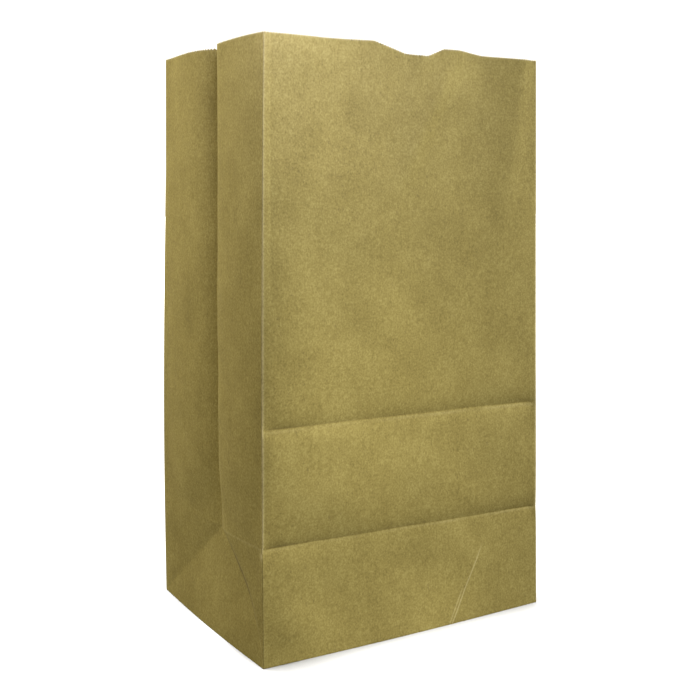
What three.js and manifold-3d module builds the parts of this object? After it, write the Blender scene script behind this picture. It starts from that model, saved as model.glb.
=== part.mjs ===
// Paper grocery bag: one sheet of kraft paper, folded into a gusseted tube and pasted into a block bottom,
// standing open. Millimetres, +Z up, front panel facing -Y, origin at the middle of the base.

import * as THREE from 'three';
import { mergeVertices } from 'three/addons/utils/BufferGeometryUtils.js';
import Module from 'manifold-3d';

// Sheet and overall size
const width = 212.5;
const depth = 157;
const height = 377;
const paper = 0.15;

// Lean of the four upright folds: how far the mouth's corner lies to the right and to the back of the base's
const leanFrontLeft = new THREE.Vector2(2.75, -0.5);
const leanFrontRight = new THREE.Vector2(-3.25, 4.5);
const leanBackRight = new THREE.Vector2(-2.75, -5.5);
const leanBackLeft = new THREE.Vector2(2.75, -6.5);

// Outward bows: upright folds, of which the back ones are straight over their upper part, and base edges
const backEdgeBow = 1.8;
const backBowTop = 300;
const nearEdgeBow = 1;
const panelFootBow = 2;
const gussetFootBow = 1.8;
const footBowReach = 45;

// Cut edge of the mouth, in places from the front panel's left edge: pinked, with a thumb notch,
// a slight rise left of the notch and a drop towards both corners
const toothPitch = 2;
const toothHeight = 1;
const mouthBand = 14;
const cutRiseStart = 45;
const cutRisePlace = 80;
const cutRise = 1.4;
const cutDropStart = 150;
const cutDropEnd = 168;
const cutDrop = 2.3;
const leftCornerDrop = 0.6;
const rightCornerDrop = 3;
const notchStart = 83;
const notchFloorStart = 107;
const notchFloorEnd = 124;
const notchEnd = 137;
const notchDepth = 5.6;

// Wave of the front panel at the mouth, in places from its left edge and depths inwards
const waveFoot = 200;
const hollowStart = 77;
const hollowEnd = 112;
const hollowDepth = 5;
const ridgePlace = 122;
const ridgeDepth = 3.5;
const dipPlace = 140;
const dipDepth = 4;
const shoulderPlace = 158;
const shoulderDepth = 3;
const flarePlace = 202;
const flareDepth = -1.2;

// Cross folds of the front panel: heights at its left and right edges, and the dents up its height
const lowFoldLeft = 72.5;
const lowFoldRight = 68.5;
const lowFoldBack = 66.5;
const highFoldLeft = 144.5;
const highFoldRight = 141.9;
const highFoldDepth = 1.8;
const foldReach = 11;
const facetDrop = 0.7;
const facetHeight = 8;
const lowFoldDepth = 1.7;
const underFoldDepth = 0.8;
const underFoldReach = 22;
const stripCrown = 0.5;
const stripTilt = 2;
const foldEndSlope = 10;

// Kinks of the two front edges at the low fold
const kinkLeft = 0.7;
const kinkRight = 0.5;
const kinkReach = 9;
const kinkSpread = 14;

// Above the low fold the front panel is a little hollow across and stands proud of its left edge
const panelDish = 2;
const edgeRound = 2.4;
const roundReach = 9;
const roundRise = 60;
const roundFadeStart = 270;
const roundFadeEnd = 340;

// Gussets: the centre crease, its apex over the base, and the outward bulge of each half
const apexHeight = 69.5;
const apexDepth = 5.5;
const apexShift = 9;
const creaseDepth = 14;
const creaseRise = 50;
const frontHalf = { sharpnessAtApex: 7, sharpness: 10, bulge: 3.2 };
const rearHalf = { sharpnessAtApex: 2.2, sharpness: 8, bulge: 2 };

// Block bottom and lap seam
const flapLap = 24;
const flapEnd = 32;
const flapSlit = 0.5;
const flapJoggle = 8;
const seamCentre = 30;
const seamLap = 25;
const seamRamp = 0.3;
const seamJoggle = 10;

// Mesh steps: shares of each band, closer together at the folds and at the crease
const creaseShares = [0, 0.15, 0.35, 0.55, 0.72, 0.84, 0.92, 0.97, 1];
const stripShares = [0.06, 0.16, 0.35, 0.65, 0.89, 1];
const upperShares = [0.02, 0.05, 0.12, 0.26, 0.42, 0.58, 0.74, 0.88, 1];
const frontColumns = 24;
const backColumnsBesideSeam = 5;

const wasm = await Module();
wasm.setup();

const lerp = THREE.MathUtils.lerp;
const smoothstep = THREE.MathUtils.smoothstep;
const halfWave = (share) => Math.sin(Math.PI * share);
const fade = (distance, reach) => Math.exp(-Math.abs(distance) / reach);

// Value at a place on straight pieces through marks of [place, value]
function alongMarks(marks, place) {
  const next = marks.findIndex(([mark]) => mark > place);
  if (next < 1) return marks[marks.length - 1][1];
  const [startPlace, start] = marks[next - 1];
  const [endPlace, end] = marks[next];
  return lerp(start, end, (place - startPlace) / (endPlace - startPlace));
}

// Faces in turn round the bag, each starting at the corner of the same number
const faceNames = ['front', 'right', 'back', 'left'];
const [front, right, back, left] = faceNames.keys();
const inward = [
  new THREE.Vector2(0, 1),
  new THREE.Vector2(-1, 0),
  new THREE.Vector2(0, -1),
  new THREE.Vector2(1, 0),
];
const faceAfter = (face) => (face + 1) % faceNames.length;
const faceBefore = (face) => (face + faceNames.length - 1) % faceNames.length;
const isGusset = (face) => face === right || face === left;

const corners = [
  {
    base: new THREE.Vector2(-width / 2, -depth / 2),
    lean: leanFrontLeft,
    bow: -nearEdgeBow,
    bowTop: height,
    kink: kinkLeft,
    low: lowFoldLeft,
    high: highFoldLeft,
  },
  {
    base: new THREE.Vector2(width / 2, -depth / 2),
    lean: leanFrontRight,
    bow: 0,
    bowTop: height,
    kink: kinkRight,
    low: lowFoldRight,
    high: highFoldRight,
  },
  {
    base: new THREE.Vector2(width / 2, depth / 2),
    lean: leanBackRight,
    bow: backEdgeBow,
    bowTop: backBowTop,
    kink: 0,
    low: lowFoldBack,
    high: highFoldRight,
  },
  {
    base: new THREE.Vector2(-width / 2, depth / 2),
    lean: leanBackLeft,
    bow: -backEdgeBow,
    bowTop: backBowTop,
    kink: 0,
    low: lowFoldBack,
    high: highFoldLeft,
  },
];

// Height of a fold line at a place across a face; in a gusset the low fold runs through the apex
function lowFoldAt(face, across) {
  const start = corners[face].low;
  const end = corners[faceAfter(face)].low;
  if (!isGusset(face)) return lerp(start, end, across);
  return across < 0.5 ? lerp(start, apexHeight, across * 2) : lerp(apexHeight, end, across * 2 - 1);
}

function highFoldAt(face, across) {
  return lerp(corners[face].high, corners[faceAfter(face)].high, across);
}

// Upright fold between two faces, in plan
function cornerAt(index, z) {
  const { base, lean, bow, bowTop, kink, low } = corners[index];
  const place = base.clone().addScaledVector(lean, z / height);
  place.x += bow * halfWave(Math.min(1, z / bowTop));
  place.y += kink * fade(z - low, kinkReach);
  return place;
}

// Dent of the front panel up its height: valleys on both folds, crowned strips, a facet under the high fold
function foldDent(z, low, high) {
  if (z > high) return highFoldDepth * fade(z - high, foldReach);
  const shelf = highFoldDepth - facetDrop;
  if (z < low) {
    const slope = (shelf + lowFoldDepth - stripTilt - underFoldDepth) * (z / low);
    return slope + underFoldDepth * fade(low - z, underFoldReach) - stripCrown * halfWave(z / low);
  }
  const share = (z - low) / (high - low);
  const facet = facetDrop * Math.max(0, 1 - (high - z) / facetHeight);
  const valley = lowFoldDepth * fade(z - low, foldReach);
  return shelf + facet + valley - stripCrown * halfWave(share) - stripTilt * (1 - share);
}

// Plan of the front panel at the mouth
function mouthWave(across) {
  const marks = [
    [0, 0],
    [hollowStart, hollowDepth],
    [hollowEnd, hollowDepth],
    [ridgePlace, ridgeDepth],
    [dipPlace, dipDepth],
    [shoulderPlace, shoulderDepth],
    [flarePlace, flareDepth],
    [width, 0],
  ];
  return alongMarks(marks, across * width);
}

// The kinks of the edges stay close to them instead of running straight across the panel
function kinkDent(across, z, low) {
  const fromLeft = across * width;
  const near = kinkLeft * fade(fromLeft, kinkSpread) + kinkRight * fade(width - fromLeft, kinkSpread);
  const atLeft = kinkLeft * fade(z - lowFoldLeft, kinkReach);
  const atRight = kinkRight * fade(z - lowFoldRight, kinkReach);
  return near * fade(z - low, kinkReach) - lerp(atLeft, atRight, across);
}

function frontDent(across, z) {
  const low = lowFoldAt(front, across);
  const high = highFoldAt(front, across);
  const folds = foldDent(z, low, high) * Math.min(1, foldEndSlope * halfWave(across));
  const dish = panelDish * halfWave(across) * smoothstep(z, low, high);
  const wave = mouthWave(across) * smoothstep(z, waveFoot, height);
  const roundShare = smoothstep(z, low, low + roundRise) * (1 - smoothstep(z, roundFadeStart, roundFadeEnd));
  const proud = edgeRound * (1 - fade(across * width, roundReach) - across) * roundShare;
  return folds + dish + wave - proud + kinkDent(across, z, low);
}

// Under the apex a flat base triangle between slanting folds; above it the crease, with both halves bulging
function gussetDent(face, across, z) {
  const low = lowFoldAt(face, across);
  const fromCrease = Math.abs(2 * across - 1);
  const half = (across < 0.5) === (face === right) ? frontHalf : rearHalf;
  if (z <= low) {
    const share = z / low;
    const besideTriangle = Math.min(1, (1 - fromCrease) / share);
    return apexDepth * share * besideTriangle ** half.sharpnessAtApex;
  }
  const grown = smoothstep(z, low, low + creaseRise);
  const sharpness = lerp(half.sharpnessAtApex, half.sharpness, grown);
  const valley = lerp(apexDepth, creaseDepth, (z - low) / (height - low)) * (1 - fromCrease) ** sharpness;
  return valley - half.bulge * grown * 4 * fromCrease * (1 - fromCrease);
}

// The crease runs towards the front on its way down to the apex
function creaseShift(face, across, z) {
  const low = lowFoldAt(face, across);
  const down = z < low ? z / low : (height - z) / (height - low);
  return apexShift * (1 - Math.abs(2 * across - 1)) * down;
}

// Outer skin of the sheet at a place across a face, moved in by the given depth
function skinPoint(face, across, z, depthIn) {
  const place = cornerAt(face, z).lerp(cornerAt(faceAfter(face), z), across);
  const footBow = (isGusset(face) ? gussetFootBow : panelFootBow) * halfWave(across);
  place.addScaledVector(inward[face], depthIn - footBow * (1 - smoothstep(z, 0, footBowReach)));
  if (face === front) place.addScaledVector(inward[face], frontDent(across, z));
  if (isGusset(face)) {
    place.addScaledVector(inward[face], gussetDent(face, across, z));
    place.y -= creaseShift(face, across, z);
  }
  if (across === 0) place.addScaledVector(inward[faceBefore(face)], depthIn);
  return new THREE.Vector3(place.x, place.y, z);
}

// Columns round the tube, each with the depths of its outer and inner skin; the lap seam is on the back panel
function evenColumns(face, start, end, count, outer = 0, inner = paper) {
  const places = Array.from({ length: count }, (_, i) => lerp(start, end, i / count));
  return places.map((across) => ({ face, across, outer, inner }));
}

function gussetColumns(face) {
  const towards = creaseShares.slice(0, -1).map((share) => share / 2);
  const away = creaseShares.slice(1).reverse().map((share) => 1 - share / 2);
  return [...towards, ...away].map((across) => ({ face, across, outer: 0, inner: paper }));
}

function backColumns() {
  const along = (x) => (width / 2 - x) / width;
  const lapStart = along(seamCentre + seamLap / 2);
  const lapEnd = along(seamCentre - seamLap / 2);
  const ramp = seamRamp / width;
  const settled = lapEnd + ramp + seamJoggle / width;
  return [
    ...evenColumns(back, 0, lapStart, backColumnsBesideSeam),
    { face: back, across: lapStart, outer: 0, inner: paper },
    ...evenColumns(back, lapStart + ramp, lapEnd, 2, -paper),
    { face: back, across: lapEnd, outer: -paper, inner: paper },
    { face: back, across: lapEnd + ramp, outer: -paper, inner: 0 },
    ...evenColumns(back, settled, 1, backColumnsBesideSeam),
  ];
}

const columns = [
  ...evenColumns(front, 0, 1, frontColumns),
  ...gussetColumns(right),
  ...backColumns(),
  ...gussetColumns(left),
];

// Heights of the rows in one column: base, low fold, high fold, foot of the mouth band
function rowHeights({ face, across }) {
  const low = lowFoldAt(face, across);
  const high = highFoldAt(face, across);
  return [
    ...creaseShares.map((share) => Math.max(paper / 2, low * share)),
    ...stripShares.map((share) => lerp(low, high, share)),
    ...upperShares.map((share) => lerp(high, height - mouthBand, share)),
  ];
}

// Height of the cut edge's tips
function mouthHeight(face, across) {
  if (face === right) return height - rightCornerDrop * (1 - across);
  if (face === left) return height - leftCornerDrop * across;
  if (face !== front) return height;
  const cutMarks = [
    [0, -leftCornerDrop],
    [cutRiseStart, 0],
    [cutRisePlace, cutRise],
    [notchEnd, 0],
    [cutDropStart, 0],
    [cutDropEnd, -cutDrop],
    [width, -rightCornerDrop],
  ];
  const notchMarks = [
    [0, 0],
    [notchStart, 0],
    [notchFloorStart, notchDepth],
    [notchFloorEnd, notchDepth],
    [notchEnd, 0],
  ];
  const place = across * width;
  return height + alongMarks(cutMarks, place) - alongMarks(notchMarks, place);
}

// Points of the cut edge from one column to the next: a valley, then tips and valleys in turn
function pinkedStretch(column, next) {
  const nextAcross = next.face === column.face ? next.across : 1;
  const size = isGusset(column.face) ? depth : width;
  const teeth = Math.round(((nextAcross - column.across) * size) / toothPitch);
  const steps = Math.max(1, 2 * teeth);
  return Array.from({ length: steps }, (_, i) => {
    const across = lerp(column.across, nextAcross, i / steps);
    const valley = i % 2 === 0 ? toothHeight : 0;
    return {
      face: column.face,
      across,
      z: mouthHeight(column.face, across) - valley,
      outer: lerp(column.outer, next.outer, i / steps),
      inner: lerp(column.inner, next.inner, i / steps),
    };
  });
}

// The standing tube: outer and inner skin joined round the foot and along the cut edge
function tubeGeometry() {
  const positions = [];
  const triangles = [];
  const addPoint = (point) => positions.push(point.x, point.y, point.z) / 3 - 1;
  const addQuad = (a, b, c, d) => triangles.push(a, b, c, a, c, d);

  const upright = columns.map((column) => {
    const rows = rowHeights(column);
    return {
      outer: rows.map((z) => addPoint(skinPoint(column.face, column.across, z, column.outer))),
      inner: rows.map((z) => addPoint(skinPoint(column.face, column.across, z, column.inner))),
    };
  });
  const cutEdge = columns.map((column, i) => {
    const points = pinkedStretch(column, columns[(i + 1) % columns.length]);
    return points.map(({ face, across, z, outer, inner }) => ({
      outer: addPoint(skinPoint(face, across, z, outer)),
      inner: addPoint(skinPoint(face, across, z, inner)),
    }));
  });

  columns.forEach((column, i) => {
    const here = upright[i];
    const there = upright[(i + 1) % columns.length];
    const top = here.outer.length - 1;
    const falling = isGusset(column.face) && column.across >= 0.5;
    for (let row = 0; row < top; row++) {
      const out = [here.outer[row], there.outer[row], there.outer[row + 1], here.outer[row + 1]];
      const inn = [here.inner[row], here.inner[row + 1], there.inner[row + 1], there.inner[row]];
      if (falling) {
        addQuad(out[1], out[2], out[3], out[0]);
        addQuad(inn[1], inn[2], inn[3], inn[0]);
      } else {
        addQuad(...out);
        addQuad(...inn);
      }
    }
    addQuad(here.outer[0], here.inner[0], there.inner[0], there.outer[0]);

    const edge = [...cutEdge[i], cutEdge[(i + 1) % columns.length][0]];
    const middle = Math.floor(edge.length / 2);
    triangles.push(here.outer[top], there.outer[top], edge[middle].outer);
    triangles.push(there.inner[top], here.inner[top], edge[middle].inner);
    for (let k = 0; k < edge.length - 1; k++) {
      const foot = k < middle ? here : there;
      triangles.push(foot.outer[top], edge[k + 1].outer, edge[k].outer);
      triangles.push(foot.inner[top], edge[k].inner, edge[k + 1].inner);
      addQuad(edge[k].outer, edge[k + 1].outer, edge[k + 1].inner, edge[k].inner);
    }
  });

  const geometry = new THREE.BufferGeometry();
  geometry.setAttribute('position', new THREE.Float32BufferAttribute(positions, 3));
  geometry.setIndex(triangles);
  return geometry;
}

// One layer of the block bottom, from an outline in plan; pasted layers bite half a paper into the ones below
function layerGeometry(outline, bottom, top) {
  const options = { depth: top - bottom, bevelEnabled: false };
  return new THREE.ExtrudeGeometry(new THREE.Shape(outline), options).translate(0, 0, bottom);
}

// Foot of one face in plan, in the middle of the paper, from its first corner to its last
function footLine(face) {
  const places = columns.filter((column) => column.face === face).map((column) => column.across);
  const points = places.map((across) => skinPoint(face, across, paper / 2, paper / 2));
  points.push(skinPoint(faceAfter(face), 0, paper / 2, paper / 2));
  return points.map((point) => new THREE.Vector2(point.x, point.y));
}

// Outer flaps narrow from the full width at their fold to the pasted end
function flapEdge(side, fromFold) {
  const length = (depth + flapLap) / 2;
  const half = lerp(width / 2, flapEnd / 2, fromFold / length) - paper / 2;
  const y = side * (depth / 2 - fromFold);
  return [new THREE.Vector2(side * half, y), new THREE.Vector2(-side * half, y)];
}

function flapGeometry(face, side, end) {
  return layerGeometry([...footLine(face), ...flapEdge(side, end).reverse()], 0, paper);
}

// Joggled end of the rear flap, lying over the front flap
function tongueGeometry(side, start, end) {
  const outline = [...flapEdge(side, start), ...flapEdge(side, end).reverse()];
  return layerGeometry(outline, paper / 2, 2 * paper);
}

// Folded-in end of a gusset: a rectangle over half the base's depth
function endLayerGeometry(face, side) {
  const inner = side * (width - depth) / 2;
  const y = side * (depth - paper) / 2;
  const outline = [...footLine(face), new THREE.Vector2(inner, y), new THREE.Vector2(inner, -y)];
  return layerGeometry(outline, paper / 2, 2 * paper);
}

function blockBottom() {
  const lapStart = (depth - flapLap) / 2;
  const lapEnd = (depth + flapLap) / 2;
  return [
    flapGeometry(front, -1, lapEnd),
    flapGeometry(back, 1, lapStart - flapSlit),
    tongueGeometry(1, lapStart - flapJoggle, lapEnd),
    endLayerGeometry(left, -1),
    endLayerGeometry(right, 1),
  ];
}

function solidOf(geometry) {
  geometry.deleteAttribute('normal');
  geometry.deleteAttribute('uv');
  const merged = mergeVertices(geometry);
  return new wasm.Manifold(new wasm.Mesh({
    numProp: 3,
    vertProperties: new Float32Array(merged.attributes.position.array),
    triVerts: new Uint32Array(merged.index.array),
  }));
}

function bagGeometry() {
  const bag = blockBottom().map(solidOf).reduce((sum, layer) => sum.add(layer), solidOf(tubeGeometry()));
  const mesh = bag.getMesh();
  const geometry = new THREE.BufferGeometry();
  geometry.setAttribute('position', new THREE.BufferAttribute(new Float32Array(mesh.vertProperties), 3));
  geometry.setIndex(new THREE.BufferAttribute(new Uint32Array(mesh.triVerts), 1));
  geometry.computeVertexNormals();
  return geometry;
}

const kraft = new THREE.MeshStandardMaterial({
  color: 0xa89358,
  roughness: 0.88,
  metalness: 0,
  flatShading: true,
  side: THREE.DoubleSide,
});

const bag = new THREE.Mesh(bagGeometry(), kraft);
bag.name = 'paper_bag';

const part = new THREE.Group();
part.add(bag);

export default part;
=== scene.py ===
import math

import bpy
import numpy as np
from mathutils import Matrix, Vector


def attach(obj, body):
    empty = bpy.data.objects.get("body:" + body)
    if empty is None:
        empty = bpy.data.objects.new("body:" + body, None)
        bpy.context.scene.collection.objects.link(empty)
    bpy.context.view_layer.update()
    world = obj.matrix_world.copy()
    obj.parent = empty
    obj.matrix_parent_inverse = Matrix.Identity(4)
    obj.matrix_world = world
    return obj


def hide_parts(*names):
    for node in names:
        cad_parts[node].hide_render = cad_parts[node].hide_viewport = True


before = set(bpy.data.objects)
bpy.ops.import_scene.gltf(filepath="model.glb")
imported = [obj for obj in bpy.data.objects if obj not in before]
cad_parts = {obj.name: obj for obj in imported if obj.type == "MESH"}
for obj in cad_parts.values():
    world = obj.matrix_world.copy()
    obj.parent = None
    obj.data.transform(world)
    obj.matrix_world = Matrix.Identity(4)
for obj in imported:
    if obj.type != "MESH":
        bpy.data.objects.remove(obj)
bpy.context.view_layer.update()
mm = 0.001
print("packed bag loaded")

# camera stands off the front left corner, metres and degrees
cameraSpot = {
    "place": (-0.3835, -0.6412, 0.2785),
    "turn": 30.98,
    "tilt": 4.834,
    "sensor": 36,
    "lens": 55.506,
    "shiftY": -0.08,
}


def aimCamera():
    data = bpy.data.cameras.new("shop_camera")
    data.sensor_width = cameraSpot["sensor"]
    data.lens = cameraSpot["lens"]
    data.shift_y = cameraSpot["shiftY"]
    camera = bpy.data.objects.new("shop_camera", data)
    camera.location = cameraSpot["place"]
    tilt, turn = math.radians(90 - cameraSpot["tilt"]), math.radians(-cameraSpot["turn"])
    camera.rotation_euler = (tilt, 0, turn)
    bpy.context.collection.objects.link(camera)
    bpy.context.scene.camera = camera


aimCamera()
print("camera placed")


# small helpers for the relief of the paper
def easeStep(x, start, end):
    share = np.clip((x - start) / (end - start), 0, 1)
    return share * share * (3 - 2 * share)


def between(start, end, share):
    return start + (end - start) * share


def halfWave(share):
    return np.sin(np.pi * share)


def bell(x, width):
    return np.exp(-((x / width) ** 2))


def crowdedShares(count, crowding):  # 0 to 1, closer together at both ends
    even = np.linspace(0, 1, count + 1)
    return even - crowding * np.sin(2 * np.pi * even) / (2 * np.pi)


def slowRipple(seed, shortest, longest, waves=14):  # uneven relief of about +-1, lengths in mm
    draw = np.random.default_rng(seed)
    lengths = draw.uniform(shortest, longest, waves)
    headings = draw.uniform(0, 2 * np.pi, waves)
    phases = draw.uniform(0, 2 * np.pi, waves)

    def relief(u, v):
        total = 0
        for length, heading, phase in zip(lengths, headings, phases):
            along = u * math.cos(heading) + v * math.sin(heading)
            total = total + np.sin(2 * np.pi * along / length + phase)
        return total / math.sqrt(waves / 2)

    return relief


# the standing sheet in mm; values in fours go round the upright folds from the front left one
bag = {
    "width": 212.5,
    "depth": 157,
    "height": 377,
    "paper": 0.15,
    "leans": ((2.75, -0.5), (-3.25, 4.5), (-2.75, -5.5), (2.75, -6.5)),  # of the mouth's corners
    "backEdgeBow": 1.8,
    "bowTop": 300,
    "nearEdgeBow": 1.0,
    "footBow": (2.0, 1.8),  # base edges stand out in their middle: panels, gussets
    "footBowReach": 45,
    "lowFold": (72.5, 68.5, 66.5, 66.5),  # heights of the cross folds
    "highFold": (144.5, 141.9, 141.9, 144.5),
    "edgeKink": (0.7, 0.5),  # dents of the two front edges at the low fold
    "kinkReach": 9,
    "kinkSpread": 14,
    "highDepth": 2.4,  # front panel: valleys on the folds, crowned strips between them
    "foldReach": 10,
    "facetDrop": 0.7,  # flat facet just under the high fold
    "facetHeight": 8,
    "lowRise": 2.5,
    "footRise": 0.8,
    "footReach": 22,
    "stripCrown": 0.5,
    "stripTilt": 2.0,  # the middle strip leans out towards its foot
    "foldEnds": (2.5, 10),  # how steeply the dents end at the edges: between the folds, on them
    "panelDish": 2.0,  # the panel is a little hollow across
    "mouthWave": (
        (0, 0), (77, 5), (112, 5), (122, 3.5), (140, 4), (170, 3.4), (202, -1.5), (212.5, 0),
    ),
    "waveEnds": 12,
    "waveSoftness": 3,
    "waveSamples": 9,
    "waveFoot": 180,
    "waveDrift": 0.3,  # shift to the left, for each mm down from the mouth
    "driftShare": (1.65, 1.3, 1.2),  # at the left edge, lost on the way to the right one, at most
    "edgeRound": 2.4,  # the panel stands proud of its left edge
    "roundReach": 9,
    "roundRise": 60,
    "roundTop": (270, 340),
    "wrinkle": ((167, 53), (139, 1)),  # slanting pinch on the lowest strip, from left edge and base
    "wrinkleHeight": 0.45,
    "wrinkleWidth": 2.2,
    "wrinkleRun": (0, 0.3, 0.9, 1.05),  # shares of its length: start, full, full, end
    "mouthRidge": ((140, 362), (108, 303)),  # soft slanting ridge under the thumb notch
    "mouthRidgeHeight": 2.4,
    "mouthRidgeWidth": 7,
    "mouthRidgeRun": (-0.5, 0.2, 0.7, 1.4),
    "apexHeight": 69.5,  # gussets
    "apexDepth": 5.5,
    "apexShift": 10,  # the crease runs towards the front on its way down
    "creaseDepth": 14,
    "apexSharpness": (7, 2.2),  # front half, rear half
    "creaseSharpness": (14, 8),
    "creaseRise": 50,
    "slantBow": 1.9,  # the front slanting folds bow between apex and corner
    "gussetBulge": (3.2, 1.4),
    "panelRipple": 0.25,
    "crumple": 0.03,
    "broadWaves": (5, 35, 110),  # of both: seed, shortest, longest
    "fineWaves": (8, 9, 26),
    "rippleEnds": (5, 20, 4),  # where it dies out: upright folds, mm over the base, gusset crease
    "rippleStep": 300,  # from one face to the next
    "footRadius": 0.25,
    "toothPitch": 2,  # pinked mouth with a thumb notch
    "toothHeight": 1,
    "mouthLine": ((0, -0.6), (45, 0), (80, 1.4), (137, 0), (150, 0), (168, -2.3), (212.5, -3)),
    "notch": (83, 107, 124, 137),  # left shoulder, both ends of the floor, right shoulder
    "notchDepth": 5.6,
    "toothBand": 2.4,
    "seamCentre": 30,  # lap seam on the back panel
    "seamLap": 25,
    "seamRamp": 0.3,
    "seamJoggle": 10,
    "cornerCells": 40,  # rows under the low fold and columns in each half gusset
    "stripCells": 26,
    "upperCells": 50,
    "frontCells": 112,
    "seamCells": (24, 9, 44),  # back panel: beside, on and beyond the lap
    "crowding": 0.75,
    "upperCrowding": 0.85,
}
leastShare = 0.001
front, rightGusset, back, leftGusset = range(4)
inward = np.array(((0, 1), (-1, 0), (0, -1), (1, 0)))
broadRipple = slowRipple(*bag["broadWaves"])
fineRipple = slowRipple(*bag["fineWaves"])


def faceSize(face):
    return bag["depth"] if face in (rightGusset, leftGusset) else bag["width"]


def lowFoldAt(face, across):
    start, end = bag["lowFold"][face], bag["lowFold"][(face + 1) % 4]
    if face in (front, back):
        return between(start, end, across)
    return np.interp(across, (0, 0.5, 1), (start, bag["apexHeight"], end))  # runs through the apex


def highFoldAt(face, across):
    return between(bag["highFold"][face], bag["highFold"][(face + 1) % 4], across)


def crossFolds(z, low, high):  # dent of the front panel up its height
    over = bag["highDepth"] * np.exp(-np.maximum(z - high, 0) / bag["foldReach"])
    shelf = bag["highDepth"] - bag["facetDrop"]
    facet = bag["facetDrop"] * np.clip(1 - (high - z) / bag["facetHeight"], 0, 1)
    strip = shelf + facet + bag["lowRise"] * np.exp(-np.maximum(z - low, 0) / bag["foldReach"])
    strip = strip - bag["stripCrown"] * halfWave((z - low) / (high - low))
    strip = strip - bag["stripTilt"] * (high - z) / (high - low)
    slope = (shelf + bag["lowRise"] - bag["stripTilt"] - bag["footRise"]) * z / low
    under = slope + bag["footRise"] * np.exp(-np.maximum(low - z, 0) / bag["footReach"])
    under = under - bag["stripCrown"] * halfWave(z / low)
    return np.where(z < low, under, np.where(z > high, over, strip))


def edgeKink(index, z, low):
    return bag["edgeKink"][index] * np.exp(-np.abs(z - low) / bag["kinkReach"])


def uprightFold(index, z):
    corner = np.array(((-1, -1), (1, -1), (1, 1), (-1, 1)))[index]
    corner = corner * (bag["width"] / 2, bag["depth"] / 2)
    place = corner + np.array(bag["leans"][index]) * (z / bag["height"])[..., None]
    if index < 2:
        place[..., 1] += edgeKink(index, z, bag["lowFold"][index])
        place[..., 0] -= bag["nearEdgeBow"] * halfWave(z / bag["height"]) * (index == 0)
    else:
        bow = bag["backEdgeBow"] * halfWave(np.minimum(z / bag["bowTop"], 1))
        place[..., 0] += bow if index == 2 else -bow
    return place


def mouthWave(across, z):  # plan of the front panel at the mouth, with softened bends
    places, depths = zip(*bag["mouthWave"])
    atLeft, lost, most = bag["driftShare"]
    drift = bag["waveDrift"] * np.minimum(most, atLeft - lost * across)
    place = across * bag["width"] + drift * (bag["height"] - z)
    shifts = np.linspace(-1, 1, bag["waveSamples"]) * bag["waveSoftness"]
    wave = sum(np.interp(place + shift, places, depths) for shift in shifts) / len(shifts)
    return wave * np.minimum(1, bag["waveEnds"] * halfWave(across))


def alongLine(x, z, line):  # distance beside a line of the front panel and share along it
    (topX, topZ), (footX, footZ) = line
    length = math.hypot(footX - topX, footZ - topZ)
    alongX, alongZ = (footX - topX) / length, (footZ - topZ) / length
    fromX, fromZ = x - topX, z - topZ
    return fromX * alongZ - fromZ * alongX, (fromX * alongX + fromZ * alongZ) / length


def ridge(across, z, name):  # soft ridge of the front panel
    offLine, onLine = alongLine(across * bag["width"], z, bag[name])
    run = bag[name + "Run"]
    crest = easeStep(onLine, run[0], run[1]) * (1 - easeStep(onLine, run[2], run[3]))
    return bag[name + "Height"] * (crest * bell(offLine, bag[name + "Width"]))


def frontDent(across, z):
    low, high = lowFoldAt(front, across), highFoldAt(front, across)
    nearFold = np.exp(-np.minimum(np.abs(z - low), np.abs(z - high)) / bag["foldReach"])
    apart, on = (np.tanh(steep * halfWave(across)) for steep in bag["foldEnds"])
    dent = crossFolds(z, low, high) * between(apart, on, nearFold)
    dent = dent + bag["panelDish"] * halfWave(across) * easeStep(z, low, high)
    dent = dent + mouthWave(across, z) * easeStep(z, bag["waveFoot"], bag["height"])
    rounded = 1 - np.exp(-across * bag["width"] / bag["roundReach"]) - across
    rounded = rounded * easeStep(z, low, low + bag["roundRise"])
    dent = dent - bag["edgeRound"] * (rounded * (1 - easeStep(z, *bag["roundTop"])))
    for index, share in ((0, across), (1, 1 - across)):  # the edge kinks stay close to their edges
        spread = np.exp(-share * bag["width"] / bag["kinkSpread"])
        dent = dent + edgeKink(index, z, low) * spread
        dent = dent - edgeKink(index, z, bag["lowFold"][index]) * (1 - share)
    return dent - ridge(across, z, "wrinkle") - ridge(across, z, "mouthRidge")


def frontHalf(face, across):  # of a gusset
    return (across < 0.5) == (face == rightGusset)


def gussetDent(face, across, z):
    low = lowFoldAt(face, across)
    fromCrease = np.abs(2 * across - 1)
    isFrontHalf = frontHalf(face, across)
    sharpAtApex = np.where(isFrontHalf, *bag["apexSharpness"])
    sharpAbove = np.where(isFrontHalf, *bag["creaseSharpness"])

    # under the apex: the base triangle between the slanting folds, a curved one on both sides
    share = np.clip(z / low, leastShare, 1)
    beside = np.minimum((1 - fromCrease) / share, 1)
    flat = bag["apexDepth"] * share * beside ** sharpAtApex

    # over the apex: the crease, with both halves bulging
    rise = np.clip((z - low) / (bag["height"] - low), 0, 1)
    grown = easeStep(z, low, low + bag["creaseRise"])
    valley = between(bag["apexDepth"], bag["creaseDepth"], rise)
    valley = valley * (1 - fromCrease) ** between(sharpAtApex, sharpAbove, grown)
    bulge = np.where(isFrontHalf, *bag["gussetBulge"]) * grown
    return np.where(z <= low, flat, valley - bulge * 4 * fromCrease * (1 - fromCrease))


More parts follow.
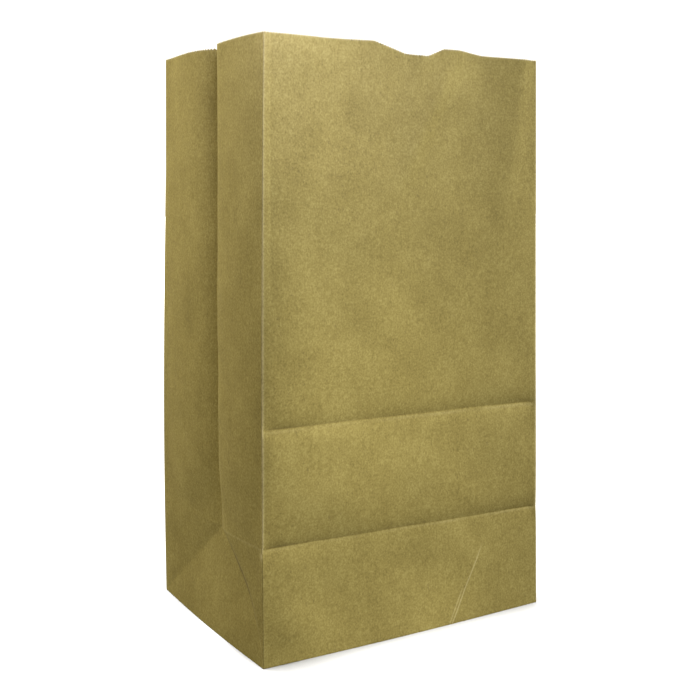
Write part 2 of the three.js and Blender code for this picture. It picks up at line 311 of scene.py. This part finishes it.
def creaseShift(face, across, z):  # towards the front
    if face in (front, back):
        return 0
    low = lowFoldAt(face, across)
    inFace = 1 - np.abs(2 * across - 1)
    down = np.where(z < low, z / low, (bag["height"] - z) / (bag["height"] - low))
    share = np.clip(z / low, leastShare, 1 - leastShare)
    toSlant = np.minimum(inFace / share, (1 - inFace) / (1 - share))
    bowed = (share - share ** bag["slantBow"]) * bag["depth"] / 2 * toSlant * (z < low)
    return bag["apexShift"] * inFace * down + bowed * frontHalf(face, across)


def footBow(face):
    return bag["footBow"][face in (rightGusset, leftGusset)]


def paperDent(face, across, z):  # how far a face stands inside the straight line between its folds
    u = across * faceSize(face) + bag["rippleStep"] * face
    atFolds, overBase, atCrease = bag["rippleEnds"]
    quiet = np.minimum(1, atFolds * halfWave(across)) * np.minimum(1, z / overBase)
    if face in (rightGusset, leftGusset):
        quiet = quiet * np.minimum(1, atCrease * np.abs(2 * across - 1))
    dent = (bag["panelRipple"] * broadRipple(u, z) + bag["crumple"] * fineRipple(u, z)) * quiet
    standsOut = 1 - easeStep(z, 0, bag["footBowReach"])
    if face in (front, back):
        standsOut = np.maximum(1 - z / bag["footBowReach"], 0) ** 2
    dent = dent - footBow(face) * halfWave(across) * standsOut
    toFoot = np.maximum(bag["footRadius"] - z, 0)
    dent = dent + bag["footRadius"] - np.sqrt(bag["footRadius"] ** 2 - toFoot ** 2)
    if face == front:
        return dent + frontDent(across, z)
    if face == back:
        return dent
    return dent + gussetDent(face, across, z)


def skinPoints(face, across, z, depthIn):  # z has rows by columns, the rest one value a column
    points = np.zeros(z.shape + (3,))
    for side in range(4):
        pick = face == side
        a, h, deep = across[pick], z[:, pick], depthIn[pick]
        place = between(uprightFold(side, h), uprightFold((side + 1) % 4, h), a[:, None])
        place += inward[side] * (paperDent(side, a, h) + deep)[..., None]
        place[..., 1] -= creaseShift(side, a, h)
        onFold = a == 0
        place[:, onFold] += inward[side - 1] * deep[onFold][:, None]
        points[:, pick, :2] = place
    points[..., 2] = z
    return points


def columnShares(face):  # places across a face, with the depth of the outer and the inner skin
    paper = bag["paper"]
    if face == front:
        across = crowdedShares(bag["frontCells"], bag["crowding"])[:-1]
    elif face == back:
        return seamColumns()
    else:
        half = crowdedShares(bag["cornerCells"], bag["crowding"]) / 2
        across = np.concatenate((half[:-1], 1 - half[:0:-1]))
    return [(a, 0, paper) for a in across]


def seamColumns():
    paper, width = bag["paper"], bag["width"]
    lapStart = (width / 2 - bag["seamCentre"] - bag["seamLap"] / 2) / width
    lapEnd = lapStart + bag["seamLap"] / width
    ramp, settled = bag["seamRamp"] / width, lapEnd + bag["seamJoggle"] / width
    beside, onLap, beyond = bag["seamCells"]
    columns = [(a, 0, paper) for a in crowdedShares(beside, bag["crowding"]) * lapStart]
    columns += [(a, -paper, paper) for a in np.linspace(lapStart + ramp, lapEnd, onLap)]
    columns += [(lapEnd + ramp, -paper, 0)]
    rest = between(settled, 1, crowdedShares(beyond, bag["crowding"])[:-1])
    return columns + [(a, 0, paper) for a in rest]


def mouthHeight(face, across):
    places, rises = zip(*bag["mouthLine"])
    if face == rightGusset:
        return bag["height"] + rises[-1] * (1 - across)
    if face == leftGusset:
        return bag["height"] + rises[0] * across
    if face != front:
        return np.full_like(across, bag["height"])
    u = across * bag["width"]
    notch = np.interp(u, bag["notch"], (0, 1, 1, 0))
    return bag["height"] + np.interp(u, places, rises) - bag["notchDepth"] * notch


# marks along the folds, sizes in mm: over 0 pale lines of rubbed paper and painted highlight, under
# 0 dark lines of painted shade
foldMarks = {
    "edge": 0.58,  # pale upright folds, partly rubbed paper and partly painted highlight, with what they lose from fadeFrom to the mouth where the lamps light them
    "edgeFade": 0.4,
    "fadeFrom": 200,
    "edgeWidth": 0.4,
    "frontEdgeWidth": 1.1,
    "underFold": 0.1,  # share left under the low fold
    "underTurn": (-4, 2),
    "lit": (0.1, 0.22),  # painted highlight: pale line under each front cross fold, at the left and the right
    "litWidth": 0.8,
    "litDrop": (1.4, 0.9),  # high fold, low fold
    "dark": (0.3, 0.06),  # painted shade: dark line over it
    "darkWidth": 0.6,
    "darkRise": (0.4, 0.5),
    "towardsRight": (0.35, 0.75),
    "evenShare": 0.6,
    "unevenWaves": (23, 9),
    "seam": 0.4,  # shade along the free edge of the lap
    "seamWidth": 0.6,
    "seamSlack": 0.01,
    "crease": 0.25,  # gussets: centre crease and the two cross lines; pale crease and low line are partly rubbed paper and partly painted highlight, the dark high line is painted shade
    "lowLine": 0.12,
    "highLine": 0.3,
    "highLineEnds": (0.3, 0.9),
    "creaseFoot": 2,
    "gussetWidth": 0.7,
    "burst": 0.7,  # burst corner of the near edge under the low fold
    "burstReach": (3, 2.5),
    "burstDrop": 4,
    "rim": 0.1,
    "insideShare": 0.5,
}


# painted highlight under each cross fold and painted shade over it
def frontFoldLightAndShade(across, z, low, high):
    lit, dark = 0, 0
    for fold, drop, rise in zip((high, low), foldMarks["litDrop"], foldMarks["darkRise"]):
        lit = lit + bell(z - fold + drop, foldMarks["litWidth"])
        dark = dark + bell(z - fold - rise, foldMarks["darkWidth"])
    quick, slow = foldMarks["unevenWaves"]
    even = foldMarks["evenShare"]
    uneven = even + (1 - even) * np.sin(across * quick) * np.sin(across * slow + 1)
    towardsRight = easeStep(across, *foldMarks["towardsRight"])
    lit = between(*foldMarks["lit"], towardsRight) * lit
    return (lit - between(*foldMarks["dark"], towardsRight) * dark) * uneven


# painted shadow beside the free edge of the lap
def seamShadow(across):
    toLap = (bag["width"] - bag["seamLap"]) / 2 - bag["seamCentre"] - across * bag["width"]
    besideLap = toLap > -foldMarks["seamSlack"]
    return -foldMarks["seam"] * bell(toLap, foldMarks["seamWidth"]) * besideLap


# pale crease and low line, partly worn and partly painted highlight; painted shade along the high
# line
def gussetMarks(face, across, z, low, high):
    width = foldMarks["gussetWidth"]
    fromCrease = 2 * across - 1
    crease = bell(fromCrease * bag["depth"] / 2, width)
    crease = crease * easeStep(z, low - foldMarks["creaseFoot"], low)
    lowLine = bell(z - low, width) * frontHalf(face, across)
    highLine = 1 - easeStep(np.abs(fromCrease), *foldMarks["highLineEnds"])
    highLine = bell(z - high, width) * highLine
    pale = np.maximum(foldMarks["lowLine"] * lowLine, foldMarks["crease"] * crease)
    return pale - foldMarks["highLine"] * highLine


# per point: pale rubbed paper and painted highlight over 0, painted shade under 0
def foldWearAndShade(face, across, z):
    wearAndShading = np.zeros(z.shape)
    for side in range(4):
        pick = face == side
        a, h = across[pick], z[:, pick]
        low, high = lowFoldAt(side, a), highFoldAt(side, a)
        toEdge = np.minimum(a, 1 - a) * faceSize(side)
        under, over = foldMarks["underTurn"]
        edge = bell(toEdge, foldMarks["frontEdgeWidth" if side == front else "edgeWidth"])
        edge = edge * between(foldMarks["underFold"], 1, easeStep(h, low + under, low + over))
        fade = foldMarks["edgeFade"] * easeStep(h, foldMarks["fadeFrom"], bag["height"])
        edge = edge * (foldMarks["edge"] - fade)
        if side == front:
            cross = frontFoldLightAndShade(a, h, low, high)
        elif side == back:
            cross = seamShadow(a)
        else:
            cross = gussetMarks(side, a, h, low, high)
        wearAndShading[:, pick] = np.where(edge > np.abs(cross), edge, cross)
    pick = face == leftGusset
    reachAcross, reachUp = foldMarks["burstReach"]
    fromEdge = (1 - across[pick]) * bag["depth"]
    fromFold = z[:, pick] - bag["lowFold"][0] + foldMarks["burstDrop"]
    burst = bell(fromEdge, reachAcross) * bell(fromFold, reachUp)
    wearAndShading[:, pick] = np.maximum(wearAndShading[:, pick], foldMarks["burst"] * burst)
    return wearAndShading


def sheetGrid():  # columns round the sheet and the heights of their rows
    columns = [(face, *column) for face in range(4) for column in columnShares(face)]
    face = np.array([column[0] for column in columns])
    across, outerIn, innerIn = np.array([column[1:] for column in columns], float).T

    def roundSheet(heightAt):
        return np.concatenate([heightAt(f, across[face == f]) for f in range(4)])

    low, high = roundSheet(lowFoldAt), roundSheet(highFoldAt)
    lip = roundSheet(mouthHeight) - bag["toothBand"]
    cornerRows = crowdedShares(bag["cornerCells"], bag["crowding"])[:, None] * low
    stripRows = crowdedShares(bag["stripCells"], bag["upperCrowding"])[1:, None]
    upperRows = crowdedShares(bag["upperCells"], bag["upperCrowding"])[1:, None]
    z = np.concatenate((
        np.maximum(cornerRows, bag["paper"] / 2),
        between(low, high, stripRows),
        between(high, lip, upperRows),
    ))
    return face, across, z, outerIn, innerIn


def cutEdge():  # a valley, then tips and valleys in turn
    face, across, z = [], [], []
    for side in range(4):
        steps = 2 * round(faceSize(side) / bag["toothPitch"])
        shares = np.arange(steps) / steps
        face += [side] * steps
        across += list(shares)
        z += list(mouthHeight(side, shares) - bag["toothHeight"] * (np.arange(steps) % 2 == 0))
    return np.array(face), np.array(across), np.array([z])


def skinTriangles(face, across, rows):  # cells split along the slanting folds of the gussets
    count = len(face)
    row, column = np.meshgrid(np.arange(rows - 1), np.arange(count), indexing="ij")
    row, column = row.ravel(), column.ravel()
    a, b = row * count + column, row * count + (column + 1) % count
    c, d = b + count, a + count
    falling = (face[column] % 2 == 1) & (across[column] >= 0.5)
    first = np.where(falling[:, None], np.stack((b, d, a), 1), np.stack((a, c, d), 1))
    second = np.where(falling[:, None], np.stack((b, c, d), 1), np.stack((a, b, c), 1))
    return np.concatenate((first, second))


def pinkedStrip(place, edgePlace, top, edgeStart):  # between the top row and the cut edge
    count, edgeCount = len(place), len(edgePlace)
    strips = []
    i, k = 0, 0
    while i < count or k < edgeCount:
        here, there = top + i % count, top + (i + 1) % count
        edgeHere, edgeThere = edgeStart + k % edgeCount, edgeStart + (k + 1) % edgeCount
        columnNext = place[i + 1] if i + 1 < count else 4 + (i >= count)  # 4 closes the ring
        edgeNext = edgePlace[k + 1] if k + 1 < edgeCount else 4 + (k >= edgeCount)
        if columnNext <= edgeNext:
            strips.append((here, there, edgeHere))
            i += 1
        else:
            strips.append((here, edgeThere, edgeHere))
            k += 1
    return strips


def standingSheet():
    face, across, z, outerIn, innerIn = sheetGrid()
    edgeFace, edgeAcross, edgeZ = cutEdge()
    place, edgePlace = face + across, edgeFace + edgeAcross
    edgeOuter = np.interp(edgePlace, place, outerIn)
    edgeInner = np.interp(edgePlace, place, innerIn)
    points = np.concatenate((
        skinPoints(face, across, z, outerIn).reshape(-1, 3),
        skinPoints(face, across, z, innerIn).reshape(-1, 3),
        skinPoints(edgeFace, edgeAcross, edgeZ, edgeOuter)[0],
        skinPoints(edgeFace, edgeAcross, edgeZ, edgeInner)[0],
    ))
    wearAndShading = foldWearAndShade(face, across, z).ravel()
    rimWear = np.full(len(edgeFace), foldMarks["rim"])
    wearAndShading = np.concatenate((wearAndShading, wearAndShading * foldMarks["insideShare"], rimWear, rimWear))

    rows, count = z.shape
    inside, edgeStart, edgeCount = rows * count, 2 * rows * count, len(edgeFace)
    skin = skinTriangles(face, across, rows)
    faces = np.concatenate((skin, skin[:, ::-1] + inside)).tolist()
    for strip in pinkedStrip(place, edgePlace, inside - count, edgeStart):
        faces.append(strip)
        faces.append([v + (edgeCount if v >= edgeStart else inside) for v in strip[::-1]])
    for k in range(edgeCount):  # rim
        a, b = edgeStart + k, edgeStart + (k + 1) % edgeCount
        faces.append((a, b, b + edgeCount, a + edgeCount))
    for i in range(count):  # foot
        j = (i + 1) % count
        faces.append((i, i + inside, j + inside, j))

    # rim and foot edges stay crisp
    line = np.zeros(len(points), int)
    line[:count], line[inside:inside + count] = 1, 2
    line[edgeStart:edgeStart + edgeCount], line[edgeStart + edgeCount:] = 3, 4
    return points, faces, wearAndShading, line


class Wire:  # one socket of a shader; sums on it add Math nodes
    def __init__(self, shader, socket):
        self.shader = shader
        self.socket = socket

    def maths(self, operation, first, second=0.0):
        return self.shader.node("ShaderNodeMath", {"operation": operation}, {0: first, 1: second})

    def __add__(self, other):
        return self.maths("ADD", self, other)

    def __radd__(self, other):
        return self.maths("ADD", other, self)

    def __sub__(self, other):
        return self.maths("SUBTRACT", self, other)

    def __rsub__(self, other):
        return self.maths("SUBTRACT", other, self)

    def __mul__(self, other):
        return self.maths("MULTIPLY", self, other)

    def __rmul__(self, other):
        return self.maths("MULTIPLY", other, self)

    def __truediv__(self, other):
        return self.maths("DIVIDE", self, other)

    def __pow__(self, other):
        return self.maths("POWER", self, other)

    def __abs__(self):
        return self.maths("ABSOLUTE", self)


class Shader:  # a material's nodes
    def __init__(self, tree):
        self.tree = tree

    def node(self, kind, settings=None, sockets=None, output=0):
        made = self.tree.nodes.new(kind)
        for name, value in (settings or {}).items():
            if name == "stops":
                steps = made.color_ramp.elements
                for index, (place, colour) in enumerate(value):
                    stop = steps[index] if index < 2 else steps.new(place)  # a ramp starts with two
                    stop.position = place
                    stop.color = (*colour, 1)
            else:
                setattr(made, name, value)
        for name, value in (sockets or {}).items():
            if isinstance(value, Wire):
                self.tree.links.new(value.socket, made.inputs[name])
            else:
                made.inputs[name].default_value = value
        return Wire(self, made.outputs[output])

    def noise(self, place, scale, stretch, detail, roughness):
        sockets = {0: place, 1: (1, 1, stretch)}
        stretched = self.node("ShaderNodeVectorMath", {"operation": "MULTIPLY"}, sockets)
        sockets = {"Vector": stretched, "Scale": scale, "Detail": detail, "Roughness": roughness}
        return self.node("ShaderNodeTexNoise", None, sockets)

    def blend(self, share, first, second):
        sockets = {0: share, 6: first, 7: second}
        return self.node("ShaderNodeMix", {"data_type": "RGBA"}, sockets, 2)

    def ramp(self, value, start, end):  # 0 at start, 1 at end
        settings = {"clamp": True, "interpolation_type": "SMOOTHSTEP"}
        sockets = {0: value, 1: start, 2: end, 3: 0.0, 4: 1.0}
        return self.node("ShaderNodeMapRange", settings, sockets)

    def place(self):
        return self.node("ShaderNodeTexCoord", None, None, 3)

    def axis(self, place, index):
        return self.node("ShaderNodeSeparateXYZ", None, {0: place}, index)


# brown kraft paper: mottled pulp, short fibres, faint lines of the paper machine, with painted
# highlight and painted shade along the folds
kraft = {
    "dark": (0.250, 0.192, 0.048),
    "middle": (0.345, 0.271, 0.075),
    "light": (0.443, 0.358, 0.114),
    # pale colour of rubbed paper and of painted highlights
    "wornAndPaintedLight": (0.78, 0.66, 0.34, 1),
    # dark colour of pulp specks and of painted shade lines
    "speckAndShade": (0.16, 0.115, 0.04, 1),
    "tones": (0.2, 0.5, 0.8),  # where dark, middle and light stand
    "grain": {  # scale, stretch up the bag, detail, roughness, weight in the tone
        "patch": (24, 0.6, 1, 0.5, 0.28),
        "cloud": (55, 1, 3, 0.5, 0.34),
        "mottle": (300, 0.75, 4, 0.6, 0.4),
        "fibre": (900, 0.85, 3, 0.6, 1.2),
        "lines": (800, 0.012, 2, 0.5, 0.12),
    },
    "specks": (620, 0.5, 1, 0.5),
    "speckRange": (0.70, 0.76),
    "speckShare": 0.3,
    "paleLeast": 0.5,  # pale marks, worn and painted highlight alike, keep some of the grain
    "paleGrain": (0.6, 0.4),  # mottle, fibre
    "paleRange": (0.3, 0.6),
    "roughness": 0.85,
    "roughnessMottle": 0.2,
    "specular": 0.35,
    "bump": 0.3,
    "bumpDepth": 0.00025,
    "bumpGrain": (0.5, 0.35, 0.15),  # mottle, fibre, lines
    "wrinkle": 0.3,  # pinch on the lowest strip: two pale lines in mm, the second one shorter, painted highlight along the pinch
    "wrinkleLine": (0.8, 0.2),
    "wrinkleGap": 2,
    "wrinkleStart": (0, 0.25),
    "wrinkleEnd": (1.0, 1.05),
    "secondStart": (0.55, 0.7),
    "secondShare": 0.7,
    "frontOnly": (-0.06, -0.07),
    "slant": 0.75,  # front slanting folds: a dark line of painted shade in the fold that fades towards the base
    "slantLine": (2.8, 0.2),
    "slantStart": (0.3, 0.65),
    "slantEnd": (0.97, 1.0),
    "gussetOnly": (0.098, 0.0995),
}


def wrinkleLines(shader, place):
    x = shader.axis(place, 0) / mm + bag["width"] / 2
    offLine, onLine = alongLine(x, shader.axis(place, 2) / mm, bag["wrinkle"])
    first = shader.ramp(abs(offLine), *kraft["wrinkleLine"])
    first = first * shader.ramp(onLine, *kraft["wrinkleStart"])
    second = shader.ramp(abs(offLine - kraft["wrinkleGap"]), *kraft["wrinkleLine"])
    second = second * shader.ramp(onLine, *kraft["secondStart"]) * kraft["secondShare"]
    isFront = shader.ramp(shader.axis(place, 1), *kraft["frontOnly"])
    return (first + second) * isFront * (1 - shader.ramp(onLine, *kraft["wrinkleEnd"]))


# painted shade along the front slanting folds of the gussets
def slantShade(shader, place):
    share = shader.axis(place, 2) / (bag["apexHeight"] * mm)
    bowed = abs(share) ** bag["slantBow"]
    foldY = bowed * (bag["depth"] / 2) - bag["depth"] / 2 - bowed * share * bag["apexShift"]
    line = shader.ramp(abs(shader.axis(place, 1) / mm - foldY), *kraft["slantLine"])
    run = shader.ramp(share, *kraft["slantStart"]) * (1 - shader.ramp(share, *kraft["slantEnd"]))
    return line * run * shader.ramp(abs(shader.axis(place, 0)), *kraft["gussetOnly"])


def kraftPaper():
    material = bpy.data.materials.new("kraft_paper")
    material.use_nodes = True
    shader = Shader(material.node_tree)
    surface = material.node_tree.nodes["Principled BSDF"]
    place = shader.place()

    tone, grain = 0.5, {}
    for name, (*look, weight) in kraft["grain"].items():
        grain[name] = shader.noise(place, *look)
        tone = tone + (grain[name] - 0.5) * weight
    darkAt, middleAt, lightAt = kraft["tones"]
    stops = ((darkAt, kraft["dark"]), (lightAt, kraft["light"]), (middleAt, kraft["middle"]))
    paper = shader.node("ShaderNodeValToRGB", {"stops": stops}, {0: tone})
    specks = shader.ramp(shader.noise(place, *kraft["specks"]), *kraft["speckRange"])
    paper = shader.blend(specks * kraft["speckShare"], paper, kraft["speckAndShade"])

    wearAndShading = shader.node("ShaderNodeAttribute", {"attribute_name": "wearAndShading"}, None, 2)
    # painted shade: dark lines from the marks under 0
    paintedShade = wearAndShading.maths("MAXIMUM", 0 - wearAndShading, 0.0)
    paper = shader.blend(paintedShade, paper, kraft["speckAndShade"])
    mottle, fibre, lines = grain["mottle"], grain["fibre"], grain["lines"]
    mottleShare, fibreShare = kraft["paleGrain"]
    uneven = shader.ramp(mottle * mottleShare + fibre * fibreShare, *kraft["paleRange"])
    least = kraft["paleLeast"]
    # pale marks over 0: rubbed paper and painted highlight
    rubbedAndLit = wearAndShading.maths("MAXIMUM", wearAndShading, 0.0) * (least + (1 - least) * uneven)
    paper = shader.blend(rubbedAndLit, paper, kraft["wornAndPaintedLight"])
    paper = shader.blend(wrinkleLines(shader, place) * kraft["wrinkle"], paper, kraft["wornAndPaintedLight"])
    # painted shade along the front slanting folds
    paper = shader.blend(slantShade(shader, place) * kraft["slant"], paper, kraft["speckAndShade"])

    mottleShare, fibreShare, lineShare = kraft["bumpGrain"]
    relief = mottle * mottleShare + fibre * fibreShare + lines * lineShare
    bump = {"Strength": kraft["bump"], "Distance": kraft["bumpDepth"], "Height": relief}
    normal = shader.node("ShaderNodeBump", None, bump)
    roughness = kraft["roughness"] + (mottle - 0.5) * kraft["roughnessMottle"]
    links = material.node_tree.links
    links.new(paper.socket, surface.inputs["Base Color"])
    links.new(roughness.socket, surface.inputs["Roughness"])
    links.new(normal.socket, surface.inputs["Normal"])
    surface.inputs["Specular IOR Level"].default_value = kraft["specular"]
    return material


kraftMaterial = kraftPaper()
print("kraft paper mixed")


def paperPiece(name, points, faces, wearAndShading, line):  # edges along one numbered line stay crisp
    mesh = bpy.data.meshes.new(name)
    mesh.from_pydata((np.asarray(points) * mm).tolist(), [], faces)
    mesh.polygons.foreach_set("use_smooth", [True] * len(mesh.polygons))
    if wearAndShading is not None:
        wornAndPaintedLight = mesh.attributes.new("wearAndShading", "FLOAT", "POINT")
        wornAndPaintedLight.data.foreach_set("value", wearAndShading.astype(np.float32))
    ends = np.zeros(2 * len(mesh.edges), int)
    mesh.edges.foreach_get("vertices", ends)
    first, second = line[ends[::2]], line[ends[1::2]]
    crisp = mesh.attributes.new("sharp_edge", "BOOLEAN", "EDGE")
    crisp.data.foreach_set("value", (first == second) & (first > 0))
    mesh.materials.append(kraftMaterial)
    mesh.update()
    piece = bpy.data.objects.new(name, mesh)
    bpy.context.collection.objects.link(piece)
    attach(piece, "root")
    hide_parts("paper_bag")
    return piece


sheetPiece = paperPiece("kraft_sheet", *standingSheet())
print("standing sheet:", len(sheetPiece.data.polygons), "faces")

# pasted block bottom, sizes in mm
bottom = {
    "flapLap": 24,
    "flapEnd": 32,
    "flapSlit": 0.5,
    "flapJoggle": 8,
    "inset": 0.3,
    "lift": 0.12,  # slack of the inner layers between their pasted lines
    "slackRound": 0.5,
    "waves": (21, 18, 60),
    "cells": 24,
}
bottomRipple = slowRipple(*bottom["waves"])


def flapHalf(fromFold):  # flaps narrow from their fold to the pasted end
    length = (bag["depth"] + bottom["flapLap"]) / 2
    return between(bag["width"] / 2, bottom["flapEnd"] / 2, fromFold / length) - bottom["inset"]


def flapOutline(side, start, end):
    near, far = flapHalf(start), flapHalf(end)
    yNear, yFar = (side * (bag["depth"] / 2 - reach) for reach in (start, end))
    return np.array(((-near, yNear), (near, yNear), (far, yFar), (-far, yFar)))


def layer(name, corners, low, high, slack=0, bow=(0, 0)):
    side = bottom["cells"] + 1
    share = np.linspace(0, 1, side)
    s, t = np.meshgrid(share, share, indexing="ij")
    s, t = s[..., None], t[..., None]
    nearLine, farLine = between(corners[0], corners[1], s), between(corners[3], corners[2], s)
    plan = between(nearLine, farLine, t).reshape(-1, 2)
    plan = plan + (halfWave(s) * (1 - t)).reshape(-1, 1) * np.array(bow)  # follows the sheet's foot
    loose = (halfWave(s) * halfWave(t)).ravel().clip(0) ** bottom["slackRound"]
    rise = slack * loose * (1 + bottomRipple(plan[:, 0], plan[:, 1])).clip(0)
    under = np.column_stack((plan, low + rise))
    over = np.column_stack((plan, high + rise))

    skin = side * side
    cell = np.arange(skin).reshape(side, side)
    squares = np.stack((cell[:-1, :-1], cell[1:, :-1], cell[1:, 1:], cell[:-1, 1:]), -1)
    squares = squares.reshape(-1, 4)
    ring = np.concatenate((cell[:-1, 0], cell[-1, :-1], cell[:0:-1, -1], cell[0, :0:-1]))
    if np.cross(corners[1] - corners[0], corners[3] - corners[0]) <= 0:  # corners go clockwise
        squares, ring = squares[:, ::-1], ring[::-1]
    faces = (squares + skin).tolist() + squares[:, ::-1].tolist()
    for here, there in zip(ring.tolist(), np.roll(ring, -1).tolist()):
        faces.append((here, there, there + skin, here + skin))
    line = np.zeros(2 * skin, int)
    line[ring], line[ring + skin] = 1, 2
    paperPiece(name, np.concatenate((under, over)), faces, None, line)


def blockBottom():
    paper = bag["paper"]
    lapStart = (bag["depth"] - bottom["flapLap"]) / 2
    lapEnd = lapStart + bottom["flapLap"]
    inset = bottom["inset"]
    bow = footBow(front)
    layer("bottom_front_flap", flapOutline(-1, inset, lapEnd), 0, paper, 0, (0, -bow))
    rearFlap = flapOutline(1, inset, lapStart - bottom["flapSlit"])
    layer("bottom_rear_flap", rearFlap, 0, paper, 0, (0, bow))
    tongue = flapOutline(1, lapStart - bottom["flapJoggle"], lapEnd)
    layer("bottom_rear_tongue", tongue, paper, 2 * paper, bottom["lift"])
    reach, half = (bag["width"] - bag["depth"]) / 2, bag["depth"] / 2 - inset
    edge = bag["width"] / 2 - inset
    for name, side in (("bottom_end_left", -1), ("bottom_end_right", 1)):
        outer, inner = side * edge, side * reach
        corners = np.array(((outer, half), (outer, -half), (inner, -half), (inner, half)))
        layer(name, corners, paper, 2 * paper, bottom["lift"], (side * footBow(leftGusset), 0))


blockBottom()
print("block bottom pasted")

# white floor and soft light
studio = {
    "floorSize": 40,
    "floorNear": (0.42, 0.42, 0.42, 1),  # soft shadow shows close to the bag
    "floorFar": (0.92, 0.92, 0.92, 1),
    "floorFade": (0.35, 1.5),
    "floorRoughness": 0.9,
    "floorSpecular": 0.1,
    "overhead": 8.5,  # sun on the floor alone
    "overheadSpread": 8,
    "overheadTilt": (-1.3, -0.8),
    "boxes": (  # power in watts, size, place and aim in metres, spread in degrees
        ("softbox", "cool", 9.8, 1.2, (2.08, -1.38, 1.92), (-0.105, -0.078, 0.31), 50),
        ("side_box", "plain", 5.8, 0.4, (-0.75, 0.4, 0.8), (0, 0, 0.2), 180),
        ("top_lamp", "cold", 0.055, 0.06, (-0.125, -0.13, 0.42), (-0.07, -0.08, 0.3), 180),
        ("mouth_lamp", "cold", 0.055, 0.08, (-0.04, -0.17, 0.43), (-0.05, -0.08, 0.34), 180),
        ("mid_lamp", "cool", 0.033, 0.06, (-0.03, -0.19, 0.155), (-0.03, -0.08, 0.155), 180),
        ("foot_left", "cool", 0.0035, 0.03, (-0.065, -0.125, 0.008), (-0.065, -0.08, 0), 180),
        ("foot_right", "cool", 0.0045, 0.03, (0.02, -0.125, 0.008), (0.02, -0.08, 0), 180),
        ("gusset_lamp", "cold", 0.014, 0.06, (-0.25, 0, 0.43), (-0.105, 0, 0.36), 180),
        ("back_fill", "plain", 14, 1.0, (0.8, 1.4, 1.1), (0, 0, 0.2), 180),
    ),
    "colours": {
        "plain": (1.0, 0.99, 0.97),
        "cool": (0.96, 1.0, 1.1),
        "cold": (0.94, 0.99, 1.7),
    },
    "skyColour": (1.0, 0.98, 0.92, 1),
    "sky": 0.57,
    "skyFoot": (-0.05, 0.3),  # dark under it
    "skyTop": (0.45, 0.95),  # dimmer over it
    "skyTopDrop": 0.65,
    "exposure": 0.28,
    "gamma": 0.88,
    "backdrop": 1.1,
}


def layFloor():
    half = studio["floorSize"] / 2
    corners = [(-half, -half, 0), (half, -half, 0), (half, half, 0), (-half, half, 0)]
    mesh = bpy.data.meshes.new("studio_floor")
    mesh.from_pydata(corners, [], [(0, 1, 2, 3)])
    material = bpy.data.materials.new("floor_white")
    material.use_nodes = True
    surface = material.node_tree.nodes["Principled BSDF"]
    shader = Shader(material.node_tree)
    away = shader.node("ShaderNodeVectorMath", {"operation": "LENGTH"}, {0: shader.place()}, 1)
    fade = shader.ramp(away, *studio["floorFade"])
    colour = shader.blend(fade, studio["floorNear"], studio["floorFar"])
    material.node_tree.links.new(colour.socket, surface.inputs["Base Color"])
    surface.inputs["Roughness"].default_value = studio["floorRoughness"]
    surface.inputs["Specular IOR Level"].default_value = studio["floorSpecular"]
    mesh.materials.append(material)
    floor = bpy.data.objects.new("studio_floor", mesh)
    bpy.context.collection.objects.link(floor)
    floor.visible_diffuse = False
    return floor


def hangLights(floor):
    overhead = bpy.data.lights.new("overhead", "SUN")
    overhead.energy = studio["overhead"]
    overhead.angle = math.radians(studio["overheadSpread"])
    sun = bpy.data.objects.new("overhead", overhead)
    sun.rotation_euler = [math.radians(angle) for angle in (*studio["overheadTilt"], 0)]
    bpy.context.collection.objects.link(sun)
    floorOnly = bpy.data.collections.new("floor_only")
    floorOnly.objects.link(floor)
    sun.light_linking.receiver_collection = floorOnly
    bagOnly = bpy.data.collections.new("bag_only")  # all but the floor
    bagOnly.objects.link(floor)
    bagOnly.collection_objects[0].light_linking.link_state = "EXCLUDE"

    for name, colour, power, size, place, aim, spread in studio["boxes"]:
        data = bpy.data.lights.new(name, "AREA")
        data.energy = power
        data.size = size
        data.spread = math.radians(spread)
        data.color = studio["colours"][colour]
        lamp = bpy.data.objects.new(name, data)
        lamp.location = place
        lamp.visible_camera = False
        lamp.light_linking.receiver_collection = bagOnly
        lamp.rotation_euler = (Vector(aim) - Vector(place)).to_track_quat("-Z", "Y").to_euler()
        bpy.context.collection.objects.link(lamp)


def lightAir():  # dome over the bag, white where the camera looks past it
    world = bpy.data.worlds.new("studio_air")
    world.use_nodes = True
    bpy.context.scene.world = world
    air = Shader(world.node_tree)
    seen = air.node("ShaderNodeLightPath")
    height = air.axis(air.node("ShaderNodeTexCoord"), 2)
    glow = world.node_tree.nodes["Background"]
    glow.inputs["Color"].default_value = studio["skyColour"]
    dimmer = 1 - air.ramp(height, *studio["skyTop"]) * studio["skyTopDrop"]
    dome = air.ramp(height, *studio["skyFoot"]) * dimmer * studio["sky"]
    strength = dome * (1 - seen) + seen * studio["backdrop"]
    world.node_tree.links.new(strength.socket, glow.inputs["Strength"])


hangLights(layFloor())
lightAir()
viewing = bpy.context.scene.view_settings
viewing.view_transform = "Standard"
viewing.exposure = studio["exposure"]
viewing.gamma = studio["gamma"]
print("studio lit")
